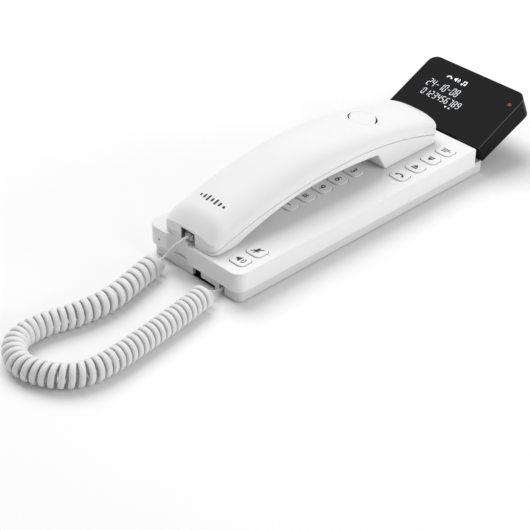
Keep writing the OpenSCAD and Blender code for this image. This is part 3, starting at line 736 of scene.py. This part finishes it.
KEY_SIGNS = {
    "key_speaker": [[(-2.2, -0.7), (-1.3, -0.7), (0, -1.8), (0, 1.8), (-1.3, 0.7), (-2.2, 0.7)],
                    strip(arc(1.3, -45, 45), 0.4), strip(arc(2.3, -45, 45), 0.4)],
    "key_mute": [rounded_rect(1.3, 2.6, 0.62, 0, 0.6), strip(arc(1.5, 200, 340, 0, 0.6), 0.35),
                 bar(0, -1.6, 0.4, 1.1), strip([(-2.1, -1.9), (2.1, 2.3)], 0.45)],
    "key_menu": [bar(-0.2, 1.3, 3.8, 0.5), bar(0.3, 0.2, 4.4, 0.5), bar(-0.5, -0.9, 3.0, 0.5)],
    "key_down": [[(-1.5, 0.3), (1.5, 0.3), (0, -1.7)], bar(0, 1.1, 3.2, 0.7)],
    "key_up": [[(-1.5, -0.3), (0, 1.7), (1.5, -0.3)], bar(0, -1.1, 3.2, 0.7)],
    "key_call": [strip(arc(1.9, 25, 155, 0, -1.2), 0.75), bar(-1.75, -0.5, 1.1, 1.0),
                 bar(1.75, -0.5, 1.1, 1.0)],
    "key_flash": [strip([(-0.8, 1.6), (0.4, 0.1), (-0.4, -0.1), (0.8, -1.6)], 0.4)],
    "key_tone": [circle(0.6, count=20)],
    "key_program": [bar(0, 0, 2.4, 0.5)],
    "key_star": [strip([(1.3 * math.cos(math.radians(a)), 1.3 * math.sin(math.radians(a))),
                        (-1.3 * math.cos(math.radians(a)), -1.3 * math.sin(math.radians(a)))], 0.5)
                 for a in (90, 30, 150)],
    "key_hash": [bar(-0.6, 0, 0.4, 3), bar(0.6, 0, 0.4, 3), bar(0, 0.6, 3, 0.4), bar(0, -0.6, 3, 0.4)],
}

# Which of its seven bars a digit lights: a top, b upper right, c lower right, d bottom, e lower left,
# f upper left and g middle.
SEGMENTS = {"0": "abcdef", "1": "bc", "2": "abged", "3": "abgcd", "4": "fgbc", "5": "afgcd", "6": "afgedc",
            "7": "abc", "8": "abcdefg", "9": "abfgcd", "-": "g"}


def digit_shapes(sign, w, h, line, lean):
    """The bars of one digit, w wide and h high, centred at the origin."""
    x, y, gap = w / 2, h / 2, line * 0.35
    bars = {"a": ((-x, y), (x, y)), "b": ((x, y), (x, 0)), "c": ((x, 0), (x, -y)), "d": ((-x, -y), (x, -y)),
            "e": ((-x, 0), (-x, -y)), "f": ((-x, y), (-x, 0)), "g": ((-x, 0), (x, 0))}
    shapes = []
    for key in SEGMENTS[sign]:
        (ax, ay), (bx, by) = bars[key]
        a, b = Vector((ax, ay)), Vector((bx, by))
        along = (b - a).normalized()
        a, b = a + along * gap, b - along * gap
        across = Vector((-along.y, along.x)) * line / 2
        ends = along * line / 2
        six = [a, a + ends - across, b - ends - across, b, b - ends + across, a + ends + across]
        shapes.append([(p.x + lean * p.y, p.y) for p in six])
    return shapes


def printed(name, shapes, body, ink, slot, place, thickness=0.06):
    """Flat printed marks as one thin piece. place puts their plane's origin where they are printed."""
    bm = bmesh.new()
    for shape in shapes:
        add_solid(bm, [flat(shape, 0), flat(shape, thickness)], place=place)
    return finish_piece(new_object(name, bm), body, slot, material=ink)


def written(text, size):
    """The outlines of a printed digit, made from the built-in font."""
    data = bpy.data.curves.new("sign", "FONT")
    data.body, data.size = text, size * MM
    data.align_x, data.align_y = "CENTER", "CENTER"
    data.extrude = 0.03 * MM
    data.offset = 0.12 * MM
    return data


def number_mark(node, sign, place):
    """A key's printed number as a piece of its own."""
    maker = bpy.data.objects.new(node + "_maker", written(sign, 7.6))
    bpy.context.scene.collection.objects.link(maker)
    bpy.context.view_layer.update()
    mesh = bpy.data.meshes.new_from_object(maker.evaluated_get(bpy.context.evaluated_depsgraph_get()))
    bpy.data.objects.remove(maker)
    mesh.transform(Matrix.Translation(place * MM))
    mark = bpy.data.objects.new(node + "_mark", mesh)
    bpy.context.scene.collection.objects.link(mark)
    finish_piece(mark, node, "key_plastic", material=PRINT_INK)


def add_keys():
    for node, (x, y, top) in key_middles().items():
        key_cap(node, x, y, top)
        sign = node.removeprefix("key_")
        if sign.isdigit():
            number_mark(node, sign, Vector((x, y, top + CROWN_RISE + 0.02)))
        else:
            place = Matrix.Translation((x, y, top + CROWN_RISE)) @ Matrix.Scale(1.5, 4)
            printed(node + "_mark", KEY_SIGNS[node], node, PRINT_INK, "key_plastic", place)


# ---------- display ----------

def on_display():
    return Matrix.Translation((0, *DISPLAY_EDGE)) @ Matrix.Rotation(math.radians(DISPLAY_TILT), 4, "X")


def display_outline(inset):
    """The display from the front, with round far corners and nearly square near ones."""
    w, r = DISPLAY_W / 2 - inset, DISPLAY_R - inset
    y0, y1 = inset, DISPLAY_L - inset
    low_r = max(0.5 - inset * 0.5, 0.15)
    far = arc(r, 0, 90, w - r, y1 - r, 16) + arc(r, 90, 180, r - w, y1 - r, 16)
    near = arc(low_r, 180, 270, low_r - w, y0 + low_r, 4) + arc(low_r, 270, 360, w - low_r, y0 + low_r, 4)
    return far + near


def display_window():
    """The glass over the display's whole face, with the indicator's hole."""
    edge = 0.5
    rim = [flat(display_outline(0.3), -WINDOW_T), flat(display_outline(0), -WINDOW_T + 0.25)]
    rim += [flat(display_outline(edge * i), -edge * d) for i, d in quarter(3)]
    hole = [flat(circle(r, *LED_PLACE, count=32), z) for r, z in ((1.6, 0), (1.45, -0.15), (1.45, -WINDOW_T))]
    bm = bmesh.new()
    add_solid(bm, rim, [hole], on_display())
    finish_piece(new_object("display_front_glass", bm), "display", "black_gloss", replaces=["display_window"])


def sloped(outline, z):
    """Like flat, but dropping towards the display's far end."""
    return [(x, y, z - DISPLAY_SWELL * y / DISPLAY_L) for x, y in outline]


def display_back():
    """The display's rear shell as a block, with slots for the two arms and the ribbon."""
    edge = 1.0
    rim = [sloped(display_outline(edge * i), -DISPLAY_T + edge * d) for i, d in reversed(quarter(5))]
    rim += [flat(display_outline(0), -WINDOW_T - 0.3), flat(display_outline(0.3), -WINDOW_T - 0.02)]
    bm = bmesh.new()
    add_solid(bm, rim, place=on_display())
    block = new_object("display_back_shell", bm)
    # the slots run in from the near edge, a little wider than what they hold
    half = ARM_W / 2 + 0.5
    slots = [prism(box_outline(x - half, -1, x + half, HINGE_U + 4), -DISPLAY_T + 1.2, -3, on_display())
             for x in (-ARM_X, ARM_X)]
    ribbon_slot = box_outline(-RIBBON_SLOT_W / 2, -1, RIBBON_SLOT_W / 2, HINGE_U + 6)
    slots.append(prism(ribbon_slot, HINGE_N - 2, HINGE_N + 5, on_display()))
    cut(block, slots)
    finish_piece(block, "display", "black_plastic", replaces=["display_rear_shell"])


def display_face():
    """The lit signs, just proud of the glass: a date row, a digit row, three signs and two small arrows."""
    # each row: its text, its first digit's middle, its pitch and its height
    rows = [("24-10-08", -27.6, 31.8, 3.6, 6.2), ("0123456789", -26.0, 23, 3.55, 5.2)]
    shapes = []
    for text, x0, y0, pitch, high in rows:
        for k, sign in enumerate(text):
            shapes += [[(x0 + k * pitch + x, y0 + y) for x, y in shape]
                       for shape in digit_shapes(sign, 2.1, high, 0.38, lean=0.1)]
    handset_sign = [strip(arc(2.0, 20, 160, -17.3, 40.6), 0.8),
                    bar(-19.1, 41.4, 1.2, 1.2), bar(-15.5, 41.4, 1.2, 1.2)]
    speaker_sign = [[(-12.9, 41.2), (-12, 41.2), (-10.8, 40), (-10.8, 44), (-12, 42.8), (-12.9, 42.8)],
                    strip(arc(1.3, -45, 45, -10.7, 42), 0.45), strip(arc(2.3, -45, 45, -10.7, 42), 0.45)]
    note_sign = [circle(0.8, -5.2, 40.2, 16), bar(-4.6, 41.8, 0.5, 3.2), circle(0.8, -2.8, 40.6, 16),
                 bar(-2.2, 42.2, 0.5, 3.2), bar(-3.4, 43.3, 2.9, 0.7)]
    arrows = [[(-3.0, 18.8), (-1.2, 18.8), (-2.1, 17.3)], [(0.2, 17.6), (2.0, 17.6), (1.1, 19.1)]]
    shapes += handset_sign + speaker_sign + note_sign + arrows
    place = on_display() @ Matrix.Translation((0, 0, 0.01))
    printed("display_signs", shapes, "display", SEGMENT_LIGHT, "lcd_glass", place, thickness=0.03)


# ---------- handset ----------

def falling(height, away, fall):
    """A height that falls with the distance away: fall gives the drop, its distance and its power."""
    drop, reach, power = fall
    return height - drop * (away / reach) ** power


def seam(y):
    """Height of the line between the two shells."""
    if y < PEAK_Y:
        return falling(SEAM_H, PEAK_Y - y, SEAM_TO_MOUTH)
    return falling(SEAM_H, y - PEAK_Y, SEAM_TO_EAR)


def crown(y):
    """Height of the back's middle line, before it rounds off at the ends."""
    if y < CROWN_Y:
        return falling(CROWN_H, CROWN_Y - y, CROWN_TO_MOUTH)
    return falling(CROWN_H, y - CROWN_Y, CROWN_TO_EAR)


def sharp_under(y):
    """Height of the underside: at rest on the base at both ends, and arched over the keypad between."""
    face, rest = EAR_FACE
    if y > EAR_FOOT:
        return REST_GAP + (y - EAR_FOOT) / (HS_Y1 - EAR_FOOT) * (seam(HS_Y1) - 0.8 - REST_GAP)
    if y < MOUTH_REST or y >= rest:
        return REST_GAP
    if y < GRIP_Y:
        return max(REST_GAP, falling(GRIP_H, GRIP_Y - y, GRIP_TO_MOUTH))
    if y < face:
        return falling(GRIP_H, y - GRIP_Y, GRIP_TO_EAR)
    top = falling(GRIP_H, face - GRIP_Y, GRIP_TO_EAR)
    return REST_GAP + (rest - y) / (rest - face) * (top - REST_GAP)


def under(y):
    """The underside, with its corners rounded by averaging over 2 mm."""
    return sum(sharp_under(min(y + k * 0.25, HS_Y1)) for k in range(-4, 5)) / 9


def corner(d):
    """How far a rounded corner has come in, at a distance d from the end."""
    return 0 if d >= HS_R else HS_R - math.sqrt(HS_R ** 2 - (HS_R - d) ** 2)


def half_w(y):
    return HS_HALF - corner(y - HS_Y0) - corner(HS_Y1 - y)


def nose(d, shape):
    """The share of the dome's height that is left at a distance d from the end."""
    reach, low = shape
    return 1 if d >= reach else low + (1 - low) * math.sin(math.pi / 2 * d / reach)


def dome_h(y):
    return (crown(y) - seam(y)) * nose(y - HS_Y0, MOUTH_NOSE) * nose(HS_Y1 - y, EAR_NOSE)


def arch(x):
    """The dome's section: its height as a share, at x from its middle line."""
    return (1 - min(1, abs(x) / HS_HALF) ** SECTION_POWER) ** (1 / SECTION_POWER)


def dome_z(x, y):
    """Height of the handset's back, in the frame."""
    return BASE_H + seam(y) + dome_h(y) * arch(x - HS_X)


def stations(fine=()):
    """Places along the handset, closer together at its ends and in the fine stretches."""
    ends = [0, 0.06, 0.2, 0.45, 0.8, 1.3, 1.9, 2.7, 3.6, 4.7, 6, 7.6, 9.4, 11.5]
    start, steps = 13, 60
    inside = [HS_Y0 + start + (HS_Y1 - HS_Y0 - 2 * start) * k / steps for k in range(steps + 1)]
    for low, high, step in fine:
        inside = [y for y in inside if not low <= y <= high]
        inside += [low + step * k for k in range(int((high - low) / step) + 1)]
    return [HS_Y0 + d for d in ends] + sorted(inside) + [HS_Y1 - d for d in reversed(ends)]


# the rounded edge of a shell along the seam, as how far in and how far from the seam, and the gap it leaves
LIP = [(0.5, 0.0), (0.16, 0.12), (0.0, 0.45)]
SEAM_GAP = 0.26


def dome_ring(y, flatten=1.0):
    """The handset's back at y, from one side to the other. flatten brings it down to the seam."""
    hw, h, steps = half_w(y), dome_h(y), 48
    ring = [(hw - inward, min(up, h * 0.2)) for inward, up in LIP]
    for k in range(1, steps):
        a = math.pi * k / steps
        x = math.copysign(abs(math.cos(a)) ** (2 / SECTION_POWER), math.cos(a)) * hw
        ring.append((x, max(h * arch(x), LIP[-1][1])))
    ring += [(-x, z) for x, z in reversed(ring[:len(LIP)])]
    return [(HS_X + x, y, BASE_H + seam(y) + z * flatten) for x, z in ring]


def tub_ring(y, flatten=1.0):
    """The handset's underside at y: down one side wall, across, and up the other."""
    hw, top = half_w(y), seam(y) - SEAM_GAP
    end_r = 0.7
    lift = end_r - math.sqrt(end_r ** 2 - max(0, end_r - min(y - HS_Y0, HS_Y1 - y)) ** 2)
    bottom = under(y) + lift
    edge = min(1.5, (top - bottom) * 0.45)
    ring = [(hw - inward, top - down) for inward, down in LIP]
    side_top = top - LIP[-1][1]
    ring += [(hw, side_top + (bottom + edge - side_top) * k / 4) for k in range(1, 5)]
    ring += [(hw - edge * i, bottom + edge * d) for i, d in quarter(5)[1:]]
    inner = hw - edge
    ring += [(inner - 2 * inner * k / 12, bottom) for k in range(1, 12)]
    ring += [(-x, z) for x, z in reversed(ring[:12])]
    return [(HS_X + x, y, BASE_H + top + (z - top) * flatten) for x, z in ring]


END_SHARES = (0, 0.12, 0.35, 0.6, 0.82)


def shell_skin(name, ring_at, places):
    """An open skin over rings at the places given, closed at both ends by rings that flatten to the seam."""
    rings = [ring_at(places[0], s) for s in END_SHARES] + [ring_at(y) for y in places]
    rings += [ring_at(places[-1], s) for s in reversed(END_SHARES)]
    bm = bmesh.new()
    add_rings(bm, rings, wrap=False)
    bmesh.ops.remove_doubles(bm, verts=bm.verts, dist=1e-6)
    bmesh.ops.dissolve_degenerate(bm, edges=bm.edges, dist=1e-6)
    return new_object(name, bm)


def cap_place():
    """The round cap's seat: just under the dome's crown, square to it."""
    slope = math.atan((crown(CAP_Y + 1) - crown(CAP_Y - 1)) / 2)
    turn = Matrix.Rotation(math.radians(3), 4, "Y") @ Matrix.Rotation(slope, 4, "X")
    return Matrix.Translation((CAP_X, CAP_Y, BASE_H + crown(CAP_Y) - 0.5)) @ turn


def socket_cutter():
    """The recess for the cord's plug in the mouth end; the cutter starts a little outside the end."""
    outside = 1.5
    middle = HS_Y0 + (SOCKET_DEPTH - outside) / 2
    outline = rounded_rect(12.8, SOCKET_DEPTH + outside, 0.6, JACK_X, middle, steps=3)
    return prism(outline, BASE_H - 1, BASE_H + RECESS_H)


def orient_outward(obj):
    """Turns the skin's faces so that they look away from the handset's middle line."""
    bm = bmesh.new()
    bm.from_mesh(obj.data)
    face = max(bm.faces, key=lambda f: f.calc_area())
    centre = face.calc_center_median()
    middle = Vector((HS_X * MM, centre.y, (BASE_H + seam(centre.y / MM)) * MM))
    if (centre - middle).dot(face.normal) < 0:
        bmesh.ops.reverse_faces(bm, faces=bm.faces)
    bm.to_mesh(obj.data)
    bm.free()


def handset_back():
    back = shell_skin("handset_back", dome_ring, stations())
    orient_outward(back)
    thicken(back, SHELL - 0.2)
    cut(back, [socket_cutter(), prism(circle(CAP_R + CAP_GAP, count=72), -3, 5, cap_place())])
    finish_piece(back, "handset", "white_plastic", replaces=["handset_back_shell"], angle=40)


def front_holes():
    """Cutters for the front shell: receiver and mouthpiece holes, the hanger tab's slot and screw holes."""
    def through(outline, height=4):
        return prism(outline, BASE_H - 1, BASE_H + height)

    receiver_r, around = 1, 5
    holes = [socket_cutter(), through(circle(receiver_r, HS_X, EAR_Y, 20))]
    for k in range(6):
        a = math.radians(60 * k)
        x, y = HS_X + around * math.cos(a), EAR_Y + around * math.sin(a)
        holes.append(through(circle(receiver_r, x, y, 20)))
    holes.append(through(circle(0.8, *MOUTHPIECE, 20)))
    holes.append(through(rounded_rect(12, 5.2, 0.8, HS_X, TAB_Y, steps=3)))
    return holes + [through(circle(2.6, HS_X, y, 28), under(y) + 1.4) for y in SCREW_Y]


def handset_front():
    face, rest = EAR_FACE
    front = shell_skin("handset_front", tub_ring, stations([(face - 2, rest + 2, 0.4)]))
    orient_outward(front)
    thicken(front, SHELL - 0.2)
    cut(front, front_holes())
    finish_piece(front, "handset", "white_plastic", replaces=["handset_front_shell"], angle=40)


def cap_notch(t):
    """How far the cap's edge is notched at an angle t: 1.2 mm at most, on two opposite sides."""
    return 1.2 * max(0, abs(math.cos(t - math.radians(41))) - 0.8) / 0.2


def round_cap():
    """The flush disc in the handset's back: its face follows the dome, its edge is notched on two sides."""
    count, edge, proud = 72, 0.22, 0.05
    full_r = 8
    turns = [2 * math.pi * k / count for k in range(count)]
    seat = cap_place()
    low_ring = []
    for t in turns:
        near = CAP_R - cap_notch(t)
        low_ring.append(seat @ Vector((near * math.cos(t), near * math.sin(t), -0.7)))
    rings = [low_ring]
    profile = [(CAP_R - edge * i, -edge * d) for i, d in quarter(4)]
    profile += [(r, 0) for r in (full_r, 6, 4, 1.6)]
    for r, drop in profile:
        ring = []
        for t in turns:
            near = r - (cap_notch(t) if r > full_r else 0)
            x, y = CAP_X + near * math.cos(t), CAP_Y + near * math.sin(t)
            ring.append((x, y, dome_z(x, y) + drop + proud))
        rings.append(ring)
    bm = bmesh.new()
    first, last = add_rings(bm, rings)
    bm.faces.new(list(reversed(first)))
    middle = bm.verts.new(Vector((CAP_X, CAP_Y, dome_z(CAP_X, CAP_Y) + proud)) * MM)
    for k in range(count):
        bm.faces.new((last[k], last[(k + 1) % count], middle))
    cap = new_object("handset_round_cap", bm)
    finish_piece(cap, "handset", "white_plastic", replaces=["round_cap"], angle=40)


def sound_mark():
    """A plain sign of upright strokes near the mouth end, laid on the dome."""
    middle_x, middle_y, pitch, half_thick = -5, -87.5, 3.4, 0.05
    heights = [2.0, 3.4, 5.0, 3.0, 4.6, 3.2, 2.0]
    bm = bmesh.new()
    for k, height in enumerate(heights):
        stroke_x = middle_x + (k - len(heights) // 2) * pitch
        outline = rounded_rect(1.6, height, 0.7, stroke_x, middle_y, steps=4)
        low = [(x, y, dome_z(x, y) - half_thick) for x, y in outline]
        high = [(x, y, dome_z(x, y) + half_thick) for x, y in outline]
        add_solid(bm, [low, high])
    finish_piece(new_object("handset_mark", bm), "handset", "white_plastic", material=MARK_INK)


# ---------- CAD nodes that stay ----------

def dress_cad_nodes():
    """Gives every CAD node the material of its slot."""
    parts = frame["record"]["subparts"]
    slot_of = {part["node"]: part.get("material_slot") or part.get("slot") for part in parts}
    for name, obj in frame["nodes"].items():
        material = MATERIALS[slot_of[name]]
        if obj.material_slots:
            for place in obj.material_slots:
                place.material = material
        else:
            obj.data.materials.append(material)


# ---------- stage ----------

def add_floor():
    side, thick = 6000, 20
    outline = rounded_rect(side, side, 400)
    bm = bmesh.new()
    add_solid(bm, [flat(outline, -FOOT_H - thick), flat(outline, -FOOT_H)])
    floor = new_object("floor", bm)
    material, tree, shader = new_material("floor")
    tree.links.new(between(tree, noise(tree, 3), (0.82, 0.82, 0.82), (0.84, 0.84, 0.84)),
                   shader.inputs["Base Color"])
    tree.links.new(spread(tree, noise(tree, 20), 0.5, 0.6), shader.inputs["Roughness"])
    smooth_object(floor, material)


def add_light(name, place, aim, size, power, mirrored=True):
    """An area light, in metres and watts. mirrored says whether glossy surfaces show it."""
    data = bpy.data.lights.new(name, "AREA")
    data.shape = "RECTANGLE"
    data.size, data.size_y = size
    data.energy = power
    light = bpy.data.objects.new(name, data)
    light.location = place
    light.rotation_euler = (Vector(aim) - Vector(place)).to_track_quat("-Z", "Y").to_euler()
    light.visible_glossy = mirrored
    bpy.context.scene.collection.objects.link(light)


def add_lights():
    scene = bpy.context.scene
    scene.view_settings.view_transform = "Standard"
    world = bpy.data.worlds.new("world")
    scene.world = world
    world.use_nodes = True
    world.node_tree.nodes["Background"].inputs["Color"].default_value = (1, 1, 1, 1)
    world.node_tree.nodes["Background"].inputs["Strength"].default_value = 0.4
    add_light("key_light", (-1.5, 0.45, 2.5), (0, 0, 0), (2.4, 2.4), 86, mirrored=False)
    add_light("side_light", (1.3, 0.8, 0.42), (0, 0, 0), (0.8, 0.5), 10, mirrored=False)
    add_light("edge_light", (0.95, 0.03, 0.85), (0, 0, 0), (0.25, 0.8), 2)


add_camera()
add_cord()
upper_case()
slot_shade_plate()
display_arms()
add_keys()
display_window()
display_back()
display_face()
handset_back()
handset_front()
round_cap()
sound_mark()
dress_cad_nodes()
add_floor()
add_lights()
